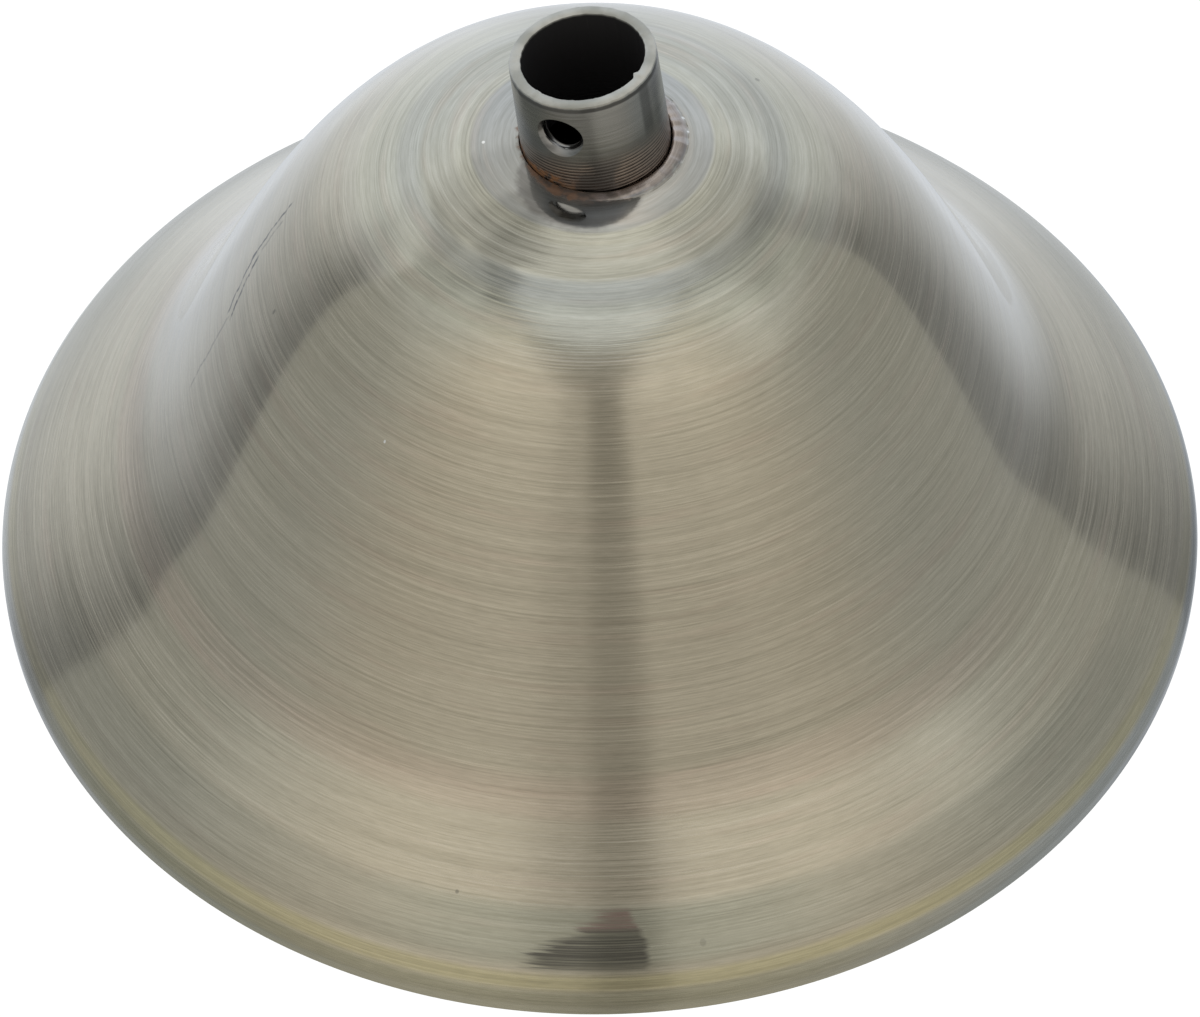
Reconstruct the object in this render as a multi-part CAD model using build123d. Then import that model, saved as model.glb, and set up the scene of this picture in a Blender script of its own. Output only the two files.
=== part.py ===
from build123d import *
import os
from math import asin, cos, degrees, radians, sin, sqrt, tan

# Sizes in millimetres and degrees. The origin is the middle of the rim plane and +Z is the shell's axis.
# The front is towards -Y. Seen from there the collar leans to the left and a little away.

# Bell shell: one disc of steel sheet, spun over a chuck to a bell and turned down at the rim.
# Radii are measured from the axis to the outside of the sheet.
sheet = 0.8
rim_radius = 55.0
shell_height = 50.5  # rim plane to the top of the crown, as if the hole weren't punched
crown_arc_radius = 59.0  # the nearly flat dome round the collar
crown_edge_radius = 14.3  # where the crown breaks into the shoulder
step_bend_radius = 5.0
step_turn = 12.0  # how much steeper the sheet gets across that break
shoulder_radius = 24.7
shoulder_drop = 8.8  # below the top of the crown
shoulder_slope = 48.6  # down from the horizontal, as are the next two
flank_radius = 37.3
flank_height = 21.1
flank_slope = 63.1
flare_radius = 43.5  # where the steep flank has turned out into the flare
flare_height = 12.1
flare_slope = 39.9
lip_bend_radius = 1.9  # outside of the turned-down lip
lip_start_slope = 52.8  # slope of the flare where the lip begins
lip_height = 0.9  # upright edge below the lip's bend
bell_spans = 16  # stretches of the bell's curve that are carried through the sheet

# Collar: a turned steel tube through the middle of the crown, with a foot brazed under the sheet.
# It was set in crooked, a little off the shell's axis.
bore_radius = 5.2  # clears a 10 mm tube or nipple
mouth_radius = 6.2
neck_radius = 6.35  # outside of the tube where it leaves the sheet
collar_stand = 8.9  # length of tube above the top of the crown, along its own axis
collar_lean = 6.5
collar_lean_heading = 156.0  # where it leans to, counted from +X about +Z
collar_shift_x = 0.25
collar_shift_y = 0.25
mouth_break = 0.15  # broken outer and inner edges of the tube's mouth
collar_play = 0.12  # smallest gap between the tube and the punched hole
bead_width = 1.2  # low swelling of the sheet and braze round the hole
bead_height = 0.25
bead_root = 0.15  # how far its section reaches into the sheet and the hole
foot_radius = 9.2
foot_edge = 1.0  # thickness of the foot at its edge
braze_film = 0.05  # between the foot and the underside of the sheet

# Side hole: tapped M4 through the collar's wall for a grub screw that isn't there.
tap_radius = 1.65
tap_drop = 3.6  # below the collar's mouth, along the tube
tap_azimuth = 23.0  # turned from the front towards -X
tap_break = 0.25  # countersunk edge of the hole

crown_slope = degrees(asin(crown_edge_radius / crown_arc_radius))
crown_centre = shell_height - crown_arc_radius
lean_tangent = tan(radians(collar_lean))
collar_frame = Plane(
    origin=(collar_shift_x, collar_shift_y, shell_height),
    x_dir=(0, 1, 0),
    z_dir=Vector(0, 0, 1).rotate(
        Axis((0, 0, 0), (-sin(radians(collar_lean_heading)), cos(radians(collar_lean_heading)), 0)), collar_lean
    ),
)


def bell_curve():
    """The outside of the bell between the crown's break and the lip, through its three stations."""
    step, lip = upper_bends(0)[1], lip_bend(0)
    stations = (
        (shoulder_radius, shell_height - shoulder_drop),
        (flank_radius, flank_height),
        (flare_radius, flare_height),
    )
    slopes = (shoulder_slope, flank_slope, flare_slope)
    falls = [(cos(radians(slope)), -sin(radians(slope))) for slope in slopes]
    return Spline(step @ 1, *stations, lip @ 1, tangents=(step % 1, *falls, -(lip % 1)))


def upper_bends(depth):
    """The crown and the break round it, on the outside at depth 0 and that far into the sheet otherwise."""
    crown = JernArc((0, shell_height - depth), (1, 0), crown_arc_radius - depth, -crown_slope)
    return crown, JernArc(crown @ 1, crown % 1, step_bend_radius - depth, -step_turn)


def lip_bend(depth):
    """The bend of the turned-down lip, from its upright edge up to the flare."""
    return JernArc((rim_radius - depth, lip_height), (0, 1), lip_bend_radius - depth, 90 - lip_start_slope)


def shell_line(depth):
    """Half of the shell from the axis down to the rim, that far into the sheet."""
    bell = bell_curve()
    along = [i / bell_spans for i in range(bell_spans + 1)]
    points = [bell @ u + (bell % u).rotate(Axis.Z, -90) * depth for u in along]
    lip = lip_bend(depth)
    edge = Line(lip @ 0, (rim_radius - depth, 0))
    return *upper_bends(depth), Spline(*points, tangents=(bell % 0, bell % 1)), lip, edge


def make_bell_shell():
    """The spun sheet: its section between outside and inside, turned round the axis and punched for the collar."""
    outside, inside = shell_line(0), shell_line(sheet)
    crown_end = Line(outside[0] @ 0, inside[0] @ 0)
    rim_end = Line(outside[-1] @ 1, inside[-1] @ 1)
    section = make_face([*outside, rim_end, *inside, crown_end])
    neck_drop = crown_arc_radius - sqrt(crown_arc_radius**2 - neck_radius**2)
    neck_sway = (sheet + neck_drop) * lean_tangent
    hole_radius = (neck_radius + collar_play) / cos(radians(collar_lean)) + neck_sway
    hole_frame = Pos(collar_shift_x, collar_shift_y, crown_centre)
    punch = Cylinder(hole_radius, 2 * shell_height + crown_arc_radius)
    return revolve(Plane.XZ * section, Axis.Z) + hole_frame * hole_bead(hole_radius) - hole_frame * punch


def hole_bead(hole_radius):
    """The ring of swollen metal round the hole, standing on the crown, from the centre of the crown's arc."""
    inner_radius, outer_radius = hole_radius - bead_root, hole_radius + bead_width
    inner_z, outer_z = (sqrt(crown_arc_radius**2 - radius**2) for radius in (inner_radius, outer_radius))
    top = ((inner_radius + outer_radius) / 2, (inner_z + outer_z) / 2 + bead_height)
    swell = ThreePointArc((inner_radius, inner_z), top, (outer_radius, outer_z - bead_root))
    root = Polyline(swell @ 1, (inner_radius, inner_z - bead_root), swell @ 0)
    return revolve(Plane.XZ * make_face([swell, root]), Axis.Z)


def make_collar():
    """The tube turned on its own leaning axis, on a foot that lies flat against the underside of the crown."""
    dome_radius = crown_arc_radius - sheet - braze_film
    foot_reach = foot_radius + sqrt(collar_shift_x**2 + collar_shift_y**2)
    foot_bottom = crown_centre + sqrt(dome_radius**2 - foot_reach**2) - foot_edge
    below_crown = shell_height - foot_bottom + neck_radius * lean_tangent

    wall = Polyline(
        (bore_radius, -below_crown),
        (neck_radius, -below_crown),
        (neck_radius, 0),
        (mouth_radius, collar_stand - mouth_break),
        (mouth_radius - mouth_break, collar_stand),
        (bore_radius + mouth_break, collar_stand),
        (bore_radius, collar_stand - mouth_break),
        close=True,
    )
    tube = collar_frame * revolve(Plane.XZ * make_face(wall), Axis.Z)

    foot = Pos(collar_shift_x, collar_shift_y, foot_bottom) * Cylinder(
        foot_radius, crown_arc_radius, align=(Align.CENTER, Align.CENTER, Align.MIN)
    )
    foot &= Pos(0, 0, crown_centre) * Sphere(dome_radius)
    bore = collar_frame * Cylinder(bore_radius, 2 * crown_edge_radius)

    floor = Pos(0, 0, foot_bottom) * Box(
        4 * foot_radius, 4 * foot_radius, below_crown, align=(Align.CENTER, Align.CENTER, Align.MAX)
    )
    return tube + (foot - bore) - floor - collar_frame * tapped_hole()


def tapped_hole():
    """The drill for the side hole, with its countersink, in the collar's own frame."""
    wall_radius = neck_radius + (mouth_radius - neck_radius) * (1 - tap_drop / collar_stand)
    drill = Cylinder(tap_radius, wall_radius, align=(Align.CENTER, Align.CENTER, Align.MIN))
    sink = Pos(0, 0, wall_radius - tap_break) * Cone(
        tap_radius, tap_radius + 2 * tap_break, 2 * tap_break, align=(Align.CENTER, Align.CENTER, Align.MIN)
    )
    front = Plane(origin=(0, 0, collar_stand - tap_drop), z_dir=(-1, 0, 0))
    return Rot(0, 0, -tap_azimuth) * (front * (drill + sink))


os.makedirs("parts", exist_ok=True)
export_step(make_bell_shell(), "parts/bell_shell.step")
export_step(make_collar(), "parts/collar.step")
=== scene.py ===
import math

import bpy
from mathutils import Matrix, Vector, noise


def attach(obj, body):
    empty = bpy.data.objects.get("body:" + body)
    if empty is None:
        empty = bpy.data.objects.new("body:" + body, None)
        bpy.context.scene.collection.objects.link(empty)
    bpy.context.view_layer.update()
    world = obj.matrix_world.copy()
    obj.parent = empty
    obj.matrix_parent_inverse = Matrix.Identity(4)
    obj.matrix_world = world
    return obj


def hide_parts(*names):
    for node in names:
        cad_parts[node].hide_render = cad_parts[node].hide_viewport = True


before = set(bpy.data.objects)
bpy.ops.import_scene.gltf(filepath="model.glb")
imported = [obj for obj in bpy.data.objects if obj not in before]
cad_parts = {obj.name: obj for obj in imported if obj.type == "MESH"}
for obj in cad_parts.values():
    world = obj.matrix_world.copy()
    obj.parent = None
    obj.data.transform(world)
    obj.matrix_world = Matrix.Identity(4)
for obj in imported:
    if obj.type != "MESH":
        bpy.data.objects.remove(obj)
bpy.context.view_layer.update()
bpy.ops.object.select_all(action="DESELECT")
mm = 0.001

# The bell shell.
# One disc of steel sheet, spun over a chuck to a bell with a nearly flat crown, and turned down at the rim.
# It is punched for the collar, brushed in circles, plated antique brass and lacquered.
sheet = 0.8 * mm
rim_radius = 55 * mm
shell_height = 50.5 * mm
crown_arc_radius = 59 * mm
crown_edge_radius = 14.3 * mm
step_bend_radius = 5 * mm
step_turn = 12
shoulder = (24.7 * mm, 41.7 * mm, 48.6)  # radius, height and slope in degrees
flank = (37.3 * mm, 21.1 * mm, 63.1)
flare = (43.5 * mm, 12.1 * mm, 39.9)
lip_bend_radius = 1.9 * mm
lip_start_slope = 52.8
lip_height = 0.9 * mm
hole_radius = 6.47 * mm
hole_shift = Vector((0.25 * mm, 0.25 * mm, 0))
hole_edge_drop = 0.35 * mm
bead_width = 1.4 * mm
bead_height = 0.24 * mm
bead_unevenness = 0.16 * mm
shift_reach = 12.5 * mm
rings_per_span = 12
turns = 288


def crown_height(radius):
    """The height of the crown's arc at that radius."""
    return shell_height - crown_arc_radius + math.sqrt(crown_arc_radius**2 - radius**2)


def bell_stations():
    """The outside of the sheet from the hole to the rim, as points with the slope that it has there."""
    bead_middle = hole_radius + bead_width / 2
    yield hole_radius, crown_height(hole_radius) - hole_edge_drop, -90
    yield hole_radius + bead_width * 0.08, crown_height(hole_radius) + bead_height * 0.5, -60
    yield bead_middle, crown_height(bead_middle) + bead_height, 8
    yield hole_radius + bead_width * 0.94, crown_height(hole_radius + bead_width) + bead_height * 0.3, 40
    yield hole_radius + bead_width * 1.12, crown_height(hole_radius + bead_width * 1.12), 8
    for share in (0.75, 1):
        slope = math.degrees(math.asin(crown_edge_radius * share / crown_arc_radius))
        yield crown_edge_radius * share, crown_height(crown_edge_radius * share), slope
    start, end = math.radians(slope), math.radians(slope + step_turn)
    step_radius = crown_edge_radius + step_bend_radius * (math.sin(end) - math.sin(start))
    step_height = crown_height(crown_edge_radius) - step_bend_radius * (math.cos(start) - math.cos(end))
    yield step_radius, step_height, slope + step_turn
    yield from (shoulder, flank, flare)
    for turned in (lip_start_slope, (lip_start_slope + 90) / 2, 90):
        bend = math.radians(turned)
        radius = rim_radius - lip_bend_radius * (1 - math.sin(bend))
        yield radius, lip_height + lip_bend_radius * math.cos(bend), turned
    yield rim_radius, 0, 90


def draw_section(stations):
    """A mesh line through the stations, each span a smooth sweep between its two slopes."""
    bpy.ops.curve.primitive_bezier_curve_add()
    curve = bpy.context.object
    curve.data.resolution_u = rings_per_span
    points = curve.data.splines[0].bezier_points
    points.add(len(stations) - len(points))
    places = [Vector((radius, 0, height)) for radius, height, _ in stations]
    for index, (point, place) in enumerate(zip(points, places)):
        fall = math.radians(stations[index][2])
        along = Vector((math.cos(fall), 0, -math.sin(fall)))
        before = (place - places[max(index - 1, 0)]).length / 3
        after = (places[min(index + 1, len(places) - 1)] - place).length / 3
        point.handle_left_type = point.handle_right_type = "FREE"
        point.co = place
        point.handle_left = place - along * before
        point.handle_right = place + along * after
    bpy.ops.object.convert(target="MESH")
    return bpy.context.object


def spin_section(piece, steps):
    """Turns the piece's section once round the axis and closes the seam."""
    bpy.ops.object.mode_set(mode="EDIT")
    bpy.ops.mesh.select_all(action="SELECT")
    bpy.ops.mesh.spin(steps=steps, angle=math.tau, center=(0, 0, 0), axis=(0, 0, 1))
    bpy.ops.mesh.select_all(action="SELECT")
    bpy.ops.mesh.remove_doubles(threshold=mm / 1000)
    bpy.ops.mesh.normals_make_consistent(inside=False)
    bpy.ops.object.mode_set(mode="OBJECT")


def settle_hole(piece):
    """Moves the hole to the collar's place, a little off the axis, and makes its bead uneven.

    The bead is broad and high on the right and runs out on the left."""
    for vertex in piece.data.vertices:
        place = vertex.co
        radius = math.hypot(place.x, place.y)
        if radius > shift_reach:
            continue
        around = Vector((place.x, place.y, 0)) / radius
        share = min(1, (shift_reach - radius) / (shift_reach - hole_radius - bead_width))
        share = share * share * (3 - 2 * share)
        fullness = max(0, 0.15 + 0.85 * around.x + 0.2 * noise.noise(around * 1.7))
        lift = place.z - crown_height(radius)
        if radius < hole_radius + bead_width * 1.1:
            lift *= fullness
            waves = noise.noise(around * 3.1) * 0.6 + noise.noise(around * 11) * 0.5
            lift += waves * bead_unevenness * fullness
        place += around * (fullness - 1) * 0.4 * (radius - hole_radius) * share
        place += hole_shift * share
        place.z = crown_height(math.hypot(place.x, place.y)) + lift


def give_thickness(piece, thickness, inner_slot):
    """Grows the sheet's inside from its outside."""
    solidify = piece.modifiers.new("sheet", "SOLIDIFY")
    solidify.thickness = thickness
    solidify.offset = -1
    solidify.use_even_offset = True
    solidify.material_offset = inner_slot
    solidify.material_offset_rim = inner_slot
    bpy.ops.object.modifier_apply(modifier=solidify.name)


class Wire:
    """One socket of a finish's nodes. Sums and products of wires and numbers add Math nodes."""

    def __init__(self, tree, socket):
        self.tree = tree
        self.socket = socket

    def node(self, kind, settings, inputs, output=0):
        """Adds a node, sets it up, feeds its sockets and gives one of its outputs."""
        new = self.tree.nodes.new(kind)
        for name, value in settings.items():
            setattr(new, name, value)
        for name, value in inputs.items():
            if isinstance(value, Wire):
                self.tree.links.new(value.socket, new.inputs[name])
            else:
                new.inputs[name].default_value = value
        return Wire(self.tree, new.outputs[output])

    def math(self, operation, *terms):
        return self.node("ShaderNodeMath", {"operation": operation}, dict(enumerate(terms)))

    def axes(self):
        """The three numbers of a place."""
        return (self.node("ShaderNodeSeparateXYZ", {}, {0: self}, axis) for axis in range(3))

    def noise(self, scale, detail):
        """Even noise at the place that this wire gives."""
        return self.node("ShaderNodeTexNoise", {}, {"Vector": self, "Scale": scale, "Detail": detail})

    def __add__(self, other):
        return self.math("ADD", self, other)

    def __sub__(self, other):
        return self.math("SUBTRACT", self, other)

    def __mul__(self, other):
        return self.math("MULTIPLY", self, other)

    def __truediv__(self, other):
        return self.math("DIVIDE", self, other)

    def __rsub__(self, other):
        return self.math("SUBTRACT", other, self)

    def __abs__(self):
        return self.math("ABSOLUTE", self)

    __radd__ = __add__
    __rmul__ = __mul__

    def rise(self, start, end):
        """Goes smoothly from 0 at start to 1 at end."""
        settings = {"interpolation_type": "SMOOTHSTEP"}
        if start < end:
            return self.node("ShaderNodeMapRange", settings, {0: self, 1: start, 2: end})
        return 1 - self.node("ShaderNodeMapRange", settings, {0: self, 1: end, 2: start})

    def band(self, start, end, edge):
        """1 between start and end, 0 outside, with soft edges of that width."""
        return self.rise(start - edge, start) * self.rise(end + edge, end)

    def tint(self, first, second):
        """The first colour where this mask is 0 and the second where it is 1."""
        first = first if isinstance(first, Wire) else (*first, 1)
        second = second if isinstance(second, Wire) else (*second, 1)
        return self.node("ShaderNodeMix", {"data_type": "RGBA"}, {0: self, 6: first, 7: second}, 2)


def off_axis(x, y):
    """How far a place is from the upright axis."""
    return x.math("SQRT", x * x + y * y)


def turn_from_front(x, y):
    """How far a place is turned from the front towards +X, in degrees."""
    return x.math("ARCTAN2", x, y * -1.0) * math.degrees(1)


def new_finish(name):
    """An empty finish: its wrapped coordinates, its surface shader and the material itself."""
    finish = bpy.data.materials.new(name)
    finish.use_nodes = True
    tree = finish.node_tree
    tree.nodes.clear()
    shader = tree.nodes.new("ShaderNodeBsdfPrincipled")
    output = tree.nodes.new("ShaderNodeOutputMaterial")
    tree.links.new(shader.outputs[0], output.inputs["Surface"])
    coordinates = tree.nodes.new("ShaderNodeTexCoord")
    return finish, shader, Wire(tree, coordinates.outputs["Object"])


def feed(shader, **sockets):
    """Sets or links the shader's sockets by their names."""
    for name, value in sockets.items():
        socket = shader.inputs[name.replace("_", " ")]
        if isinstance(value, Wire):
            value.tree.links.new(value.socket, socket)
        else:
            socket.default_value = value


# Marks on the brass, and white specks that are painted glints. Turns are in degrees from the front towards
# +X, radii and sizes in millimetres.
crown_rings = (  # rings of another tone: radii with the width of their edges, strength and colour
    ((10.6, 11.4, 0.5), 0.5, (0.56, 0.55, 0.46)),
    ((17.2, 19.6, 1.2), 0.3, (0.52, 0.50, 0.37)),
    ((15.5, 16.3, 0.5), 0.5, (0.40, 0.39, 0.33)),
)
scratches = (  # turn and radius of both ends, width and depth
    ((-96.0, 26.0), (-91.6, 30.0), 0.2, 0.95),
    ((-92.4, 29.2), (-86.6, 32.2), 0.22, 0.95),
    ((-90.8, 29.0), (-84.9, 32.0), 0.24, 1.0),
    ((-85.8, 31.9), (-83.8, 36.2), 0.2, 0.4),
    ((-93.4, 26.8), (-91.2, 28.9), 0.2, 0.4),
)
# Painted highlights: small white specks that stand in for glints.
painted_glints = (  # turn, radius, size and strength, as in the next
    (-91.0, 9.2, 0.2, 1.0),
    (-39.0, 28.3, 0.13, 1.0),
    (107.2, 8.1, 0.2, 1.0),
    (95.3, 8.15, 0.16, 1.0),
)
pits = (
    (122.5, 16.95, 0.3, 0.5),
    (9.0, 51.9, 0.35, 0.25),
    (-15.0, 49.0, 0.2, 0.5),
    (-75.5, 28.4, 0.22, 0.5),
)


class BellPlace:
    """Where a point of the bell lies, which part of it that is, and the kinds of mark it can have."""

    def __init__(self, place):
        self.place = place
        self.x, self.y, z = place.axes()
        from_axis = off_axis(self.x, self.y)
        self.radius = from_axis / mm
        self.along = (from_axis - z) / mm  # grows steadily from the crown to the rim
        self.turn = turn_from_front(self.x, self.y)
        self.disc = self.radius.rise(10.6, 10.1)  # the smooth ground round the collar
        self.crown = self.radius.rise(24, 19)
        self.flare = self.radius.rise(41, 45)
        self.lip = self.radius.rise(54.1, 54.6)
        # Painted shade: low on the flare's far side, the colour is darkened and the coat thinned.
        self.far_rim_painted_shade = self.radius.rise(46, 52) * abs(self.turn).rise(92, 125)
        self.wander = (self.streaks(1.5, 4.0, 2.0, -90.8) - 0.5) * 0.7  # of a scratch, to both sides

    def streaks(self, pitch, length, detail, seed=0.0):
        """Noise drawn out along the grooves, by its pitch across and its length along."""
        across, x, y = self.along / pitch + seed, self.x / (length * mm), self.y / (length * mm)
        return self.place.node("ShaderNodeCombineXYZ", {}, {0: across, 1: x, 2: y}).noise(1.0, detail)

    def sideways(self, turn):
        """How far round its circle a point is from that turn."""
        return (self.turn - turn) * self.radius * math.radians(1)

    def scratch(self, start, end, width, depth):
        """A thin ragged line between two places."""
        share = (self.radius - start[1]) / (end[1] - start[1])
        aside = self.sideways(start[0] + share * (end[0] - start[0])) + self.wander
        return abs(aside).rise(width, width * 0.3) * share.band(0.1, 0.9, 0.12) * depth

    def speck(self, turn, radius, size, strength):
        """A round spot."""
        across = self.sideways(turn)
        down = (self.radius - radius) * 1.2
        return (across * across + down * down).rise(size * size, size * size * 0.3) * strength


def brass_tones(bell):
    """The plating's colour from the crown to the rim, before its brushing and its marks. It is also tinted by
    turn: a band low on the front is darker and greener, and a line just above the lip is yellower, most of
    all in front.
    """
    aside = abs(bell.turn)
    colour = bell.radius.rise(14.0, 24.0).tint((0.47, 0.465, 0.40), (0.498, 0.455, 0.352))
    colour = bell.disc.tint(colour, (0.40, 0.405, 0.385))
    for radii, strength, tone in crown_rings:
        colour = (bell.radius.band(*radii) * strength).tint(colour, tone)
    pink = bell.radius.band(41.4, 43.0, 0.9) * bell.turn.rise(70, 45) * 0.35
    pink += bell.streaks(2.0, 16.0, 3.0, 20.0).rise(0.52, 0.75) * 0.3
    colour = pink.tint(colour, (0.53, 0.43, 0.34))
    dull = bell.radius.band(49.8, 52.4, 1.2) * aside.rise(80, 60) * 0.5
    colour = dull.tint(colour, aside.rise(30, 8).tint((0.36, 0.345, 0.275), (0.33, 0.36, 0.29)))
    yellow = bell.radius.band(53.7, 54.1, 0.5) * (0.2 + aside.rise(80, 40) * 0.5)
    return yellow.tint(colour, (0.49, 0.445, 0.25))


def painted_reflection_over(bell, colour, hair):
    """A painted dark reflection low on the front, brown, with ragged sides that follow the brushing."""
    ragged = (bell.streaks(0.3, 4.0, 2.0, 300.0) - 0.5) * 5 + (hair - 0.5) * 2
    left = (bell.turn + 0.3 + bell.radius.rise(49.4, 52.6) * 6.2 + ragged).rise(-1.6, 1.0)
    right = (2.2 + bell.radius.rise(49.4, 51.8) * 1.5 - bell.turn - ragged * 0.2).rise(-0.5, 0.4)
    # Painted reflection: a dark patch low on the front.
    painted_reflection_mask = left * right * bell.radius.band(49.5, 52.9, 0.4)
    brown = bell.radius.rise(50.3, 50.9).tint((0.30, 0.22, 0.185), (0.105, 0.10, 0.08))
    return (painted_reflection_mask * (0.8 + (hair - 0.5) * 3)).tint(colour, brown)


def rim_painted_light_over(bell, colour):
    """Painted shade on the far rim, and the lip: yellow in front, with painted reflections that turn it
    silver at the sides, bluish grey on the right and pale on the far left.
    """
    # Painted shade: the far rim is darkened.
    colour = (bell.far_rim_painted_shade * 0.6).tint(colour, (0.30, 0.30, 0.26))
    # Painted reflections: the lip is yellowish in front and turns silver at the sides, bluish grey on the
    # right and pale on the far left.
    lip_tone_and_painted_reflections = abs(bell.turn).rise(48, 80).tint((0.365, 0.345, 0.245), (0.47, 0.465, 0.44))
    lip_tone_and_painted_reflections = (bell.turn.rise(10, 50) * 0.8).tint(lip_tone_and_painted_reflections, (0.42, 0.435, 0.435))
    lip_tone_and_painted_reflections = bell.turn.rise(-65, -90).tint(lip_tone_and_painted_reflections, (0.66, 0.655, 0.61))
    return bell.lip.tint(colour, lip_tone_and_painted_reflections)


def braze_over(bell, colour, hair):
    """The braze round the hole, rusty on its left, and in front of it a painted dark reflection of the
    collar.

    Gives the colour, where the braze is and where it is rusty."""
    x, y = (bell.x - hole_shift.x) / mm, (bell.y - hole_shift.y) / mm
    from_middle = off_axis(x, y)
    from_edge = from_middle - hole_radius / mm
    to_right = x / from_middle
    to_front = y * -1.0 / from_middle
    mottled = bell.place.noise(1100.0, 4.0)
    width = 0.95 + to_right * 0.2 - to_right.rise(-0.4, -0.9) * 0.7 + (mottled - 0.5) * 1.3
    braze = (from_edge - width).rise(0.3, -0.15)
    rusty = to_right.rise(0.25, -0.35) * (to_front + mottled).rise(0.2, 0.6)
    rust_colour = mottled.rise(0.4, 0.6).tint((0.075, 0.05, 0.038), (0.20, 0.10, 0.05))
    braze_colour = to_right.rise(0.2, 0.8).tint((0.19, 0.15, 0.12), (0.35, 0.30, 0.28))
    braze_colour = mottled.rise(0.4, 0.65).tint(braze_colour, (0.40, 0.34, 0.31))
    braze_colour = rusty.tint(braze_colour, rust_colour)
    # Painted reflection: the collar's dark reflection in the disc in front of it.
    from_reflection_middle = turn_from_front(x, y) + 14
    painted_collar_reflection = (from_edge + from_reflection_middle * from_reflection_middle * 0.00127 - (mottled - 0.5)).rise(4.2, 3.4)
    colour = (painted_collar_reflection * (0.4 + hair * 0.5)).tint(colour, (0.15, 0.14, 0.135))
    return (braze * 0.85).tint(colour, braze_colour), braze, rusty


def rubbing(bell, hair, groove):
    """How pale the brushing has rubbed the brass, 0.5 on average."""
    fleck = bell.streaks(0.15, 1.4, 1.0, 400.0)
    swell = bell.streaks(2.2, 90.0, 2.0, 90.0)
    patch = bell.streaks(0.8, 11.0, 2.0, 600.0)
    pale_line = abs(bell.streaks(1.3, 45.0, 1.0, 150.0) - 0.5).rise(0.04, 0)
    dark_line = abs(bell.streaks(1.0, 60.0, 1.0, 210.0) - 0.5).rise(0.04, 0)
    rubbed = 0.5 + (hair - 0.5) * (2.1 - bell.disc) + (fleck - 0.5) * 1.1 + (groove - 0.5) * 0.75
    rubbed += (pale_line - dark_line) * 0.2
    rubbed += (swell - 0.5) * (0.7 + bell.crown * 0.4 + bell.flare * 0.2 + bell.disc * 1.5)
    return rubbed + (patch - 0.5) * (0.5 + bell.crown)


def antique_brass():
    """The shell's outside: brass plating, brushed in circles under a clear coat, with marks of use, and with
    painted shade, painted reflections and painted glints.
    """
    finish, shader, place = new_finish("antique_brass_brushed")
    bell = BellPlace(place)
    hair = bell.streaks(0.2, 22.0, 2.0)
    groove = bell.streaks(0.6, 50.0, 3.0, 40.0)
    grooved = 1 - bell.disc * 0.85
    height = (hair + groove) * 0.5 * grooved

    # Painted reflection low on the front, painted shade on the far rim and painted reflections on the lip.
    colour = rim_painted_light_over(bell, painted_reflection_over(bell, brass_tones(bell), hair))
    colour, braze, rusty = braze_over(bell, colour, hair)
    # Painted highlights: white specks for glints.
    colour = sum(bell.speck(*bit) for bit in painted_glints).tint(colour, (0.85, 0.85, 0.83))
    colour = sum(bell.speck(*pit) for pit in pits).tint(colour, (0.10, 0.095, 0.08))
    broken = 0.35 + bell.streaks(0.5, 1.0, 1.0, 500.0).rise(0.35, 0.5) * 0.65
    scratched = sum(bell.scratch(*line) for line in scratches) * broken
    rubbed = rubbing(bell, hair, groove)
    shade = (0.86 + rubbed * 0.28) * (1 - scratched)
    warmth = 0.985 + rubbed * 0.03
    shade = place.node("ShaderNodeCombineColor", {}, {0: shade, 1: shade, 2: shade * warmth})
    multiply = {"data_type": "RGBA", "blend_type": "MULTIPLY"}
    colour = place.node("ShaderNodeMix", multiply, {0: 1.0, 6: colour, 7: shade}, 2)

    roughness = 0.19 + (hair - 0.5) * 0.45 * grooved + bell.lip * 0.1 - bell.crown * 0.05 - bell.disc * 0.08
    bump = place.node("ShaderNodeBump", {}, {"Strength": 0.5, "Distance": 0.03 * mm, "Height": height})
    feed(shader, Base_Color=colour, Metallic=1.0 - braze * rusty * 0.6, Roughness=roughness + braze * 0.12)
    feed(shader, Anisotropic=0.85, Anisotropic_Rotation=0.25, Normal=bump)
    # Painted shade: the coat is thinner on the far rim.
    feed(shader, Coat_Weight=1 - bell.far_rim_painted_shade * 0.75, Coat_Roughness=0.06, Coat_IOR=1.5)
    return finish


def plain_steel_inside():
    """The shell's inside: the same plating, unbrushed."""
    finish, shader, place = new_finish("plated_inside")
    cloud = place.noise(90.0, 4.0)
    colour = cloud.tint((0.34, 0.32, 0.27), (0.46, 0.43, 0.35))
    feed(shader, Base_Color=colour, Metallic=1.0, Roughness=0.35 + cloud * 0.2)
    return finish


bell_shell = draw_section(list(bell_stations()))
bell_shell.name = "bell_shell_spun"
spin_section(bell_shell, turns)
settle_hole(bell_shell)
bell_shell.data.materials.append(antique_brass())
bell_shell.data.materials.append(plain_steel_inside())
give_thickness(bell_shell, sheet, 1)
bpy.ops.object.shade_smooth_by_angle(angle=math.radians(50))
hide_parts("bell_shell")
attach(bell_shell, "root")
bpy.ops.object.select_all(action="DESELECT")

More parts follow.
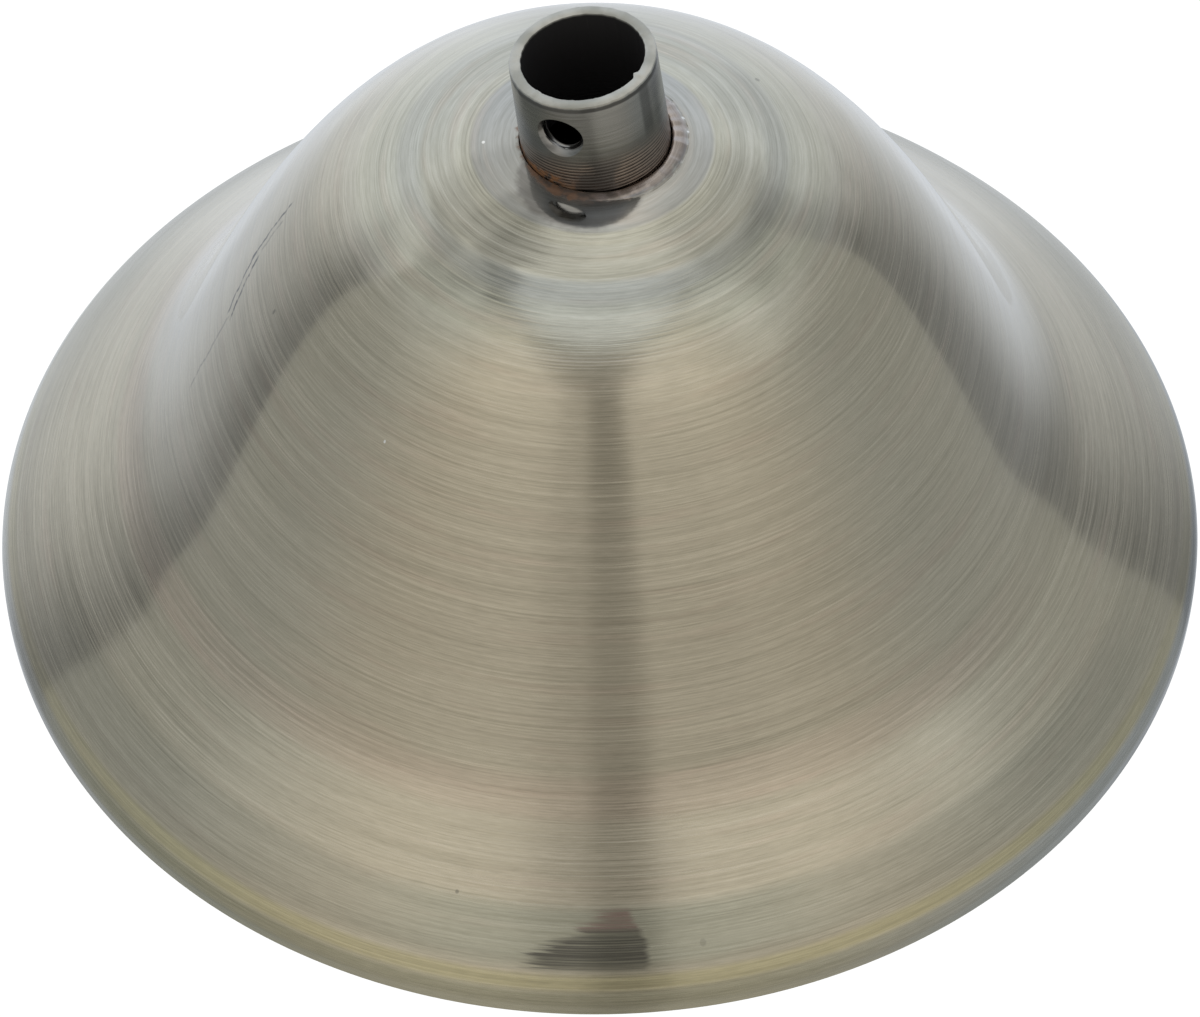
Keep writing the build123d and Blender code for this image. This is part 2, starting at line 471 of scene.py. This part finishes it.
# The collar.
# A short steel tube, turned and parted off, that comes up through the crown and leans a little.
# It is tapped at the side for a grub screw and has a foot brazed under the sheet. It rusts at the shell.
bore_radius = 5.2 * mm
mouth_radius = 6.2 * mm
neck_radius = 6.35 * mm
collar_stand = 8.9 * mm
collar_lean = math.radians(6.5)
collar_lean_heading = math.radians(156)
mouth_break = 0.15 * mm
foot_radius = 9.2 * mm
foot_edge = 1.0 * mm
braze_film = 0.05 * mm
tap_radius = 1.65 * mm
tap_drop = 3.6 * mm
tap_azimuth = math.radians(23)
tap_break = 0.4 * mm  # worn wider than a new countersink
thread_pitch = 0.7 * mm
thread_depth = 0.12 * mm
feed_pitch = 0.34  # millimetres between the turning marks
collar_turns = 192
ring_step = 0.4 * mm  # between the rings of the tube's mesh
foot_clearance = 0.02 * mm  # keeps the foot's facets off the sheet

lean_axis = Vector((-math.sin(collar_lean_heading), math.cos(collar_lean_heading), 0))
collar_frame = Matrix.Translation(hole_shift + Vector((0, 0, shell_height)))
collar_frame = collar_frame @ Matrix.Rotation(collar_lean, 4, lean_axis)


def turned_ring(name, corners, steps):
    """A closed section with those corners, turned once round the axis."""
    bpy.ops.mesh.primitive_plane_add(size=mm)
    bpy.ops.object.mode_set(mode="EDIT")
    bpy.ops.mesh.merge(type="CENTER")
    bpy.ops.transform.translate(value=corners[0])
    for start, end in zip(corners, corners[1:] + corners[:1]):
        step = [b - a for a, b in zip(start, end)]
        bpy.ops.mesh.extrude_region_move(TRANSFORM_OT_translate={"value": step})
    bpy.ops.object.mode_set(mode="OBJECT")
    piece = bpy.context.object
    piece.name = name
    spin_section(piece, steps)
    return piece


def tube_section(foot_bottom):
    """The wall of the tube from under the crown to the mouth, with rings along it for the turned finish."""
    bottom = foot_bottom - shell_height + neck_radius * math.tan(collar_lean)
    heights = [ring_step * step for step in range(1, 21)]
    taper = (mouth_radius - neck_radius) / collar_stand
    outside = [(neck_radius + taper * height, 0, height) for height in heights]
    return [
        (bore_radius, 0, bottom),
        (neck_radius, 0, bottom),
        (neck_radius, 0, 0),
        *outside,
        (mouth_radius, 0, collar_stand - mouth_break),
        (mouth_radius - mouth_break * 0.3, 0, collar_stand - mouth_break * 0.3),
        (mouth_radius - mouth_break, 0, collar_stand),
        (bore_radius + mouth_break, 0, collar_stand),
        (bore_radius + mouth_break * 0.3, 0, collar_stand - mouth_break * 0.3),
        (bore_radius, 0, collar_stand - mouth_break),
    ]


def foot_section(foot_bottom):
    """The foot from under the sheet, with a domed top that follows the crown."""
    dome_radius = crown_arc_radius - sheet - braze_film
    centre = shell_height - crown_arc_radius
    inner = (bore_radius + neck_radius) / 2
    radii = [inner + (foot_radius - inner) * step / 8 for step in range(9)]
    top = [(radius, 0, centre + math.sqrt(dome_radius**2 - radius**2) - foot_clearance) for radius in radii]
    return [*reversed(top), (inner, 0, foot_bottom), (foot_radius, 0, foot_bottom)]


def boolean(piece, other, operation):
    """Joins the other mesh to the piece or cuts it out, and takes it away."""
    cut = piece.modifiers.new(operation, "BOOLEAN")
    cut.operation = operation
    cut.solver = "EXACT"
    cut.object = other
    bpy.context.view_layer.objects.active = piece
    bpy.ops.object.modifier_apply(modifier=cut.name)
    bpy.data.objects.remove(other)


def thread_cutter():
    """The space of the tapped hole: a drill with a helical groove, flared to the countersink at its end."""
    length = 3 * mm
    rings = 60
    bpy.ops.mesh.primitive_cylinder_add(vertices=48, radius=tap_radius, depth=length)
    drill = bpy.context.object
    bpy.ops.object.mode_set(mode="EDIT")
    for ring in range(1, rings):
        bpy.ops.mesh.select_all(action="SELECT")
        height = length * (ring / rings - 0.5)
        bpy.ops.mesh.bisect(plane_co=(0, 0, height), plane_no=(0, 0, 1))
    bpy.ops.object.mode_set(mode="OBJECT")
    for vertex in drill.data.vertices:
        place = vertex.co
        phase = place.z / thread_pitch - math.atan2(place.y, place.x) / math.tau
        groove = abs(2 * (phase % 1) - 1) * thread_depth
        wall = -0.5 * (place.x * (1 + tap_break / tap_radius)) ** 2 / wall_radius  # the round tube's face
        worn = max(0, 1 + (place.z - wall) / (1.6 * tap_break))
        inside = min(1, max(0, wall - place.z) / tap_break)
        grown = 1 + (groove * inside + worn * worn * tap_break) / tap_radius
        place.x *= grown
        place.y *= grown
    return drill


def part_off(piece):
    """Leaves the edges of the tube's mouth a little ragged, with one burr on the inner edge."""
    burr_heading = Vector((0.85, -0.53, 0))
    burr_reach, burr_rise = 0.25 * mm, 0.08 * mm
    raggedness, wear = 0.05 * mm, 0.03 * mm
    for vertex in piece.data.vertices:
        place = vertex.co
        if place.z < collar_stand - mouth_break * 1.5:
            continue
        radius = math.hypot(place.x, place.y)
        around = Vector((place.x, place.y, 0)) / radius
        inner = 1 if radius < (bore_radius + mouth_radius) / 2 else 0
        rough = noise.noise(around * 9 + Vector((0, 0, inner))) + 0.7 * noise.noise(around * 31)
        burr = inner * math.exp(-((around - burr_heading).length / 0.05) ** 2)
        place -= around * (rough * raggedness + burr * burr_reach)
        place.z += (abs(rough) - 1) * wear + burr * burr_rise


foot_reach = foot_radius + hole_shift.length
dome_drop = math.sqrt((crown_arc_radius - sheet - braze_film) ** 2 - foot_reach**2)
foot_bottom = shell_height - crown_arc_radius + dome_drop - foot_edge

collar = turned_ring("collar_turned", tube_section(foot_bottom), collar_turns)
part_off(collar)
wall_radius = neck_radius + (mouth_radius - neck_radius) * (1 - tap_drop / collar_stand)
side_hole = Matrix.Rotation(-tap_azimuth, 4, "Z")
side_hole = side_hole @ Matrix.Translation((0, -wall_radius, collar_stand - tap_drop))
side_hole = side_hole @ Matrix.Rotation(math.radians(90), 4, "X")
drill = thread_cutter()
drill.data.transform(side_hole)
boolean(collar, drill, "DIFFERENCE")
collar.data.transform(collar_frame)
foot = turned_ring("collar_foot", foot_section(foot_bottom), collar_turns)
foot.data.transform(Matrix.Translation(hole_shift))
boolean(collar, foot, "UNION")


def turned_steel():
    """The collar: dark turned steel, coppery and rusty at its foot, with a bright mouth, painted reflections
    in stripes up its side, and a bore painted dark as shade.
    """
    finish, shader, place = new_finish("turned_steel")
    back = collar_frame.inverted()
    turned = place.node(
        "ShaderNodeMapping",
        {"vector_type": "POINT"},
        {"Vector": place, "Location": back.translation, "Rotation": back.to_euler()},
    )
    x, y, z = turned.axes()
    radius = off_axis(x, y)
    height = z / mm
    around = turn_from_front(x, y)
    lines = place.node("ShaderNodeCombineXYZ", {}, {0: x / (6 * mm), 1: y / (6 * mm), 2: height * 3.2})
    rings = lines.noise(1.0, 2.0)
    cloud = place.noise(350.0, 5.0)
    fine = place.noise(1500.0, 3.0)
    feed_mark = 0.5 + x.math("SINE", (height + rings * 0.2) * (math.tau / feed_pitch)) * 0.5
    marked = (height + cloud * 1.5).rise(4.2, 2.2)

    steel = (rings * 0.7 + cloud * 0.3).rise(0.3, 0.7).tint((0.18, 0.182, 0.176), (0.265, 0.265, 0.255))
    # Painted reflections: a lighter stripe up the right of the tube, and a thin dark line beside it.
    steel = (around.band(6, 44, 16) * height.rise(2.5, 5.0) * 0.5).tint(steel, (0.38, 0.38, 0.36))
    steel = (around.band(49, 56, 4) * height.rise(2.0, 4.5) * 0.6).tint(steel, (0.08, 0.08, 0.078))

    low = (height + cloud * 1.6 + rings * 1.2).rise(5.2, 3.0)
    brown = (feed_mark + fine * 0.5).rise(0.3, 0.8).tint((0.06, 0.05, 0.045), (0.38, 0.31, 0.26))
    # Painted reflection: a darker stripe up the brown low part.
    brown = (around + cloud * 50).band(22, 38, 12).tint(brown, (0.15, 0.135, 0.125))
    colour = (low * 0.9).tint(steel, marked.tint((0.22, 0.195, 0.175), brown))

    rust = (height + cloud * 2.4).rise(2.3, 1.8) * (around - cloud * 50).band(-105, -60, 20)
    rust *= fine.rise(0.35, 0.5)
    rust_colour = fine.rise(0.4, 0.6).tint((0.10, 0.05, 0.025), (0.27, 0.125, 0.05))
    colour = (rust * 0.9).tint(colour, rust_colour)

    colour = height.band(8.3, 8.55, 0.15).tint(colour, (0.10, 0.10, 0.095))
    mouth = height.rise(collar_stand / mm - 0.25, collar_stand / mm - 0.12)
    colour = mouth.tint(colour, cloud.rise(0.35, 0.6).tint((0.38, 0.38, 0.345), (0.52, 0.515, 0.475)))
    hole_wall = radius.rise(6.2 * mm, 5.9 * mm) * height.rise(8.0, 7.5)
    colour = hole_wall.tint(colour, (0.30, 0.295, 0.285))
    # Painted shade: the bore is near-black and dull.
    bore_painted_shade = radius.rise(5.32 * mm, 5.22 * mm) * height.rise(8.85, 8.6)
    colour = bore_painted_shade.tint(colour, (0.014, 0.013, 0.014))

    grain = rings + feed_mark * marked * 1.2
    bump = place.node("ShaderNodeBump", {}, {"Strength": 0.5, "Distance": 0.03 * mm, "Height": grain})
    feed(shader, Base_Color=colour, Metallic=1 - bore_painted_shade * 0.8 - rust * 0.7, Normal=bump)
    feed(shader, Roughness=0.24 + low * 0.06 + mouth * 0.12 + bore_painted_shade * 0.4 + rust * 0.3)
    return finish


collar.data.materials.clear()
collar.data.materials.append(turned_steel())
bpy.ops.object.select_all(action="DESELECT")
collar.select_set(True)
bpy.context.view_layer.objects.active = collar
bpy.ops.object.shade_smooth_by_angle(angle=math.radians(35))
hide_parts("collar")
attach(collar, "root")
bpy.ops.object.select_all(action="DESELECT")

# The floor.
# A plain pale sheet that the canopy stands on, and that the camera sees nearly white.
# The metal doesn't mirror it: the lower half of the tent stands in for it there.
bpy.ops.mesh.primitive_plane_add(size=6, location=(0, 0, -0.02 * mm))
floor = bpy.context.object
floor.name = "studio_floor"


def pale_floor():
    """Pale, and glowing to the camera outside the canopy, so that it is white with a faint shadow."""
    finish, shader, place = new_finish("pale_floor")
    feed(shader, Base_Color=(0.86, 0.86, 0.86, 1), Roughness=0.9, Specular_IOR_Level=0.0)
    tree = place.tree
    glow = place.node("ShaderNodeEmission", {}, {"Color": (1, 1, 1, 1), "Strength": 1.12})
    rays = tree.nodes.new("ShaderNodeLightPath")
    x, y, _ = place.axes()
    clear = off_axis(x, y).rise(rim_radius - sheet, rim_radius)
    seen = Wire(tree, rays.outputs["Is Camera Ray"]) + Wire(tree, rays.outputs["Is Transmission Ray"])
    seen *= clear * 0.92
    mixed = place.node("ShaderNodeMixShader", {}, {0: seen, 1: Wire(tree, shader.outputs[0]), 2: glow})
    output = next(node for node in tree.nodes if node.type == "OUTPUT_MATERIAL")
    tree.links.new(mixed.socket, output.inputs["Surface"])
    return finish


floor.data.materials.append(pale_floor())
floor.visible_glossy = False

# The ground under the canopy.
# A dark disc inside the rim, so that the closed space stays dark behind the side hole.
bpy.ops.mesh.primitive_circle_add(
    vertices=96, radius=rim_radius - sheet, fill_type="NGON", location=(0, 0, -0.01 * mm)
)
ground = bpy.context.object
ground.name = "shade_under_canopy"


def unlit_ground():
    """Nearly black."""
    finish, shader, _ = new_finish("unlit_ground")
    feed(shader, Base_Color=(0.05, 0.05, 0.05, 1), Roughness=1.0, Specular_IOR_Level=0.0)
    return finish


ground.data.materials.append(unlit_ground())

# The studio.
# A white tent with a dimmer wall on the camera's side, and dark gaps at the wall's ends and middle.
# Azimuths are in degrees from behind the camera, growing towards +X, and elevations from the horizon.
wall_left = -104
wall_right = 114
wall_height = 64  # in front, and lower towards the sides
right_gap_start = 117
gap_width = 35
slot_top = 62
warm_wall = (1.0, 0.965, 0.895)  # in front
cool_wall = (0.945, 0.985, 0.985)  # towards its ends
cool_back = (0.915, 0.965, 1.03)
warm_back = (1.0, 0.985, 0.93)  # high up behind the canopy


def dim_slot(azimuth, elevation):
    """How much light the slot in the wall's middle takes. It is darkest in its core and widens upwards."""
    widening = elevation.rise(46, 61)
    core = (azimuth - 3.4 + widening * 7) / (4.2 + widening * 18)
    fringe = (azimuth + 2.0 + widening * 2) / (8.5 + widening * 14)
    depth = 0.2 + elevation.rise(0, 42) * 0.21 - elevation.band(36, 44, 5) * 0.05 - widening * 0.08
    slot = (core * core).rise(4.4, 0.0) * depth + (fringe * fringe).rise(3.0, 0.0) * 0.15
    return slot * elevation.rise(slot_top + 3, slot_top)


def side_gaps(azimuth, elevation):
    """How dark it is beside the wall's two ends, fading away from them and towards the floor and the roof."""
    left_end = (wall_left - azimuth) * (0.92 + elevation.band(16, 28, 5) * 0.4)
    right_end = (azimuth - right_gap_start) * (1 + elevation.band(12, 28, 8) * 0.5)
    from_end = azimuth.math("MAXIMUM", left_end, right_end)
    left_reach = elevation.rise(46, 18)
    right_reach = elevation.rise(56, 38) * (1 - elevation.rise(10, 24) * 0.28)
    reach = left_reach + azimuth.rise(-1, 1) * (right_reach - left_reach)
    gap = from_end.rise(gap_width, 0) * reach * elevation.rise(-75, -10)
    return gap * (0.73 - elevation.band(-20, 4, 6) * 0.06)


def studio_tent():
    """The world that lights the canopy and that the metal mirrors."""
    world = bpy.data.worlds.new("studio_tent")
    world.use_nodes = True
    world.cycles.sampling_method = "NONE"  # the tent is broad and soft, so rays find its light by themselves
    tree = world.node_tree
    tree.nodes.clear()
    output = tree.nodes.new("ShaderNodeOutputWorld")
    coordinates = tree.nodes.new("ShaderNodeTexCoord")
    x, y, z = Wire(tree, coordinates.outputs["Generated"]).axes()
    azimuth = turn_from_front(x, y)
    side = abs(azimuth)
    elevation = z.math("ARCSINE", z) * math.degrees(1)

    def patches(*rows):
        """The sum of soft patches of the tent: extents across and up, with the edges' width, and strength."""
        return sum(way.band(*across) * elevation.band(*up) * strength for way, across, up, strength in rows)

    wall = 0.45 + side.rise(90, 25) * 0.19 + elevation.rise(0, 60) * 0.22
    wall += patches(
        (side, (22, 88, 12), (38, 62, 10), 0.08),
        (side, (82, 104, 10), (24, 36, 8), -0.05),
        (azimuth, (-12, 28, 12), (0, 44, 8), -0.045),
        (azimuth, (-26, 26, 16), (38, 46, 5), -0.08),
        (azimuth, (12, 26, 8), (50, 58, 5), 0.09),
        (azimuth, (74, 100, 14), (36, 50, 8), 0.12),
    )
    behind = 0.82 + elevation.rise(-14, 6) * 0.14
    behind -= elevation.rise(72, 80) * 0.06 + elevation.rise(-36, -48) * 0.2
    behind += patches(
        (side, (55, 90, 12), (68, 78, 4), -0.11),
        (side, (128, 150, 10), (-90, -20, 30), -0.13),
        (side, (152, 170, 8), (-24, -10, 6), 0.05),
        (azimuth, (-45, 45, 25), (65, 69, 2), 0.12),
        (azimuth, (-170, -146, 8), (-24, 0, 8), 0.09),
        (azimuth, (-172, -150, 8), (69, 75, 4), -0.1),
        (azimuth, (136, 158, 8), (6, 30, 8), -0.14),
    )
    roof = patches(
        (azimuth, (-156, -80, 12), (63, 69, 4), 0.43),
        (azimuth, (-166, -92, 8), (47, 59, 4), 0.18),
        (azimuth, (-98, -88, 6), (53, 63, 3), 0.14),
        (azimuth, (-126, -106, 6), (44, 54, 4), 0.22),
        (azimuth, (-152, -136, 6), (50, 58, 4), 0.12),
        (azimuth, (-164, -148, 5), (57, 63, 3), 0.2),
        (azimuth, (96, 152, 14), (46, 63, 9), 0.34),
    )
    over_wall = elevation - (wall_height - side.rise(70, 118) * 18)
    wall_edge = over_wall.band(-1.0, 1.5, 2.0) * side.rise(100, 80) * 0.35
    between_ends = azimuth.rise(wall_left, wall_left + 1) * azimuth.rise(wall_right, wall_right - 1)
    in_front = between_ends * (1 - over_wall.rise(-2.5, 2.5))
    behind *= 1 - side_gaps(azimuth, elevation)
    level = behind + in_front * (wall - behind)
    level *= (1 - roof) * (1 - wall_edge) * (1 - dim_slot(azimuth, elevation))

    wall_tint = side.rise(45, 85).tint(warm_wall, cool_wall)
    back_tint = (side.rise(70, 130) * elevation.rise(25, 60)).tint(cool_back, warm_back)
    tint = in_front.tint(back_tint, wall_tint)
    tent = level.node("ShaderNodeBackground", {}, {"Color": tint, "Strength": level})
    tree.links.new(tent.socket, output.inputs["Surface"])
    return world


bpy.context.scene.world = studio_tent()

# The camera, with a long lens that looks down on the front from a little under half a metre.
image_width = 1200
image_height = 1017
sensor = 36
lens = 144
camera_elevation = math.radians(50.69)
camera_roll = math.radians(-1.08)
rim_radius_pixels = 594.91
rim_centre_pixel = (599.31, 514.4)

lens_pixels = lens / sensor * image_width
distance = lens_pixels / rim_radius_pixels * rim_radius
forward = Vector((0, math.cos(camera_elevation), -math.sin(camera_elevation)))
level_right = Vector((1, 0, 0))
level_up = level_right.cross(forward)
right = math.cos(camera_roll) * level_right + math.sin(camera_roll) * level_up
up = math.cos(camera_roll) * level_up - math.sin(camera_roll) * level_right
offset_right = (rim_centre_pixel[0] - image_width / 2) / lens_pixels
offset_up = (image_height / 2 - rim_centre_pixel[1]) / lens_pixels
camera_data = bpy.data.cameras.new("camera")
camera_data.sensor_width = sensor
camera_data.lens = lens
camera = bpy.data.objects.new("camera", camera_data)
bpy.context.scene.collection.objects.link(camera)
camera_place = Matrix.Translation(-(forward + offset_right * right + offset_up * up) * distance)
camera.matrix_world = camera_place @ Matrix((right, up, -forward)).transposed().to_4x4()
bpy.context.scene.camera = camera
bpy.context.scene.view_settings.view_transform = "Standard"
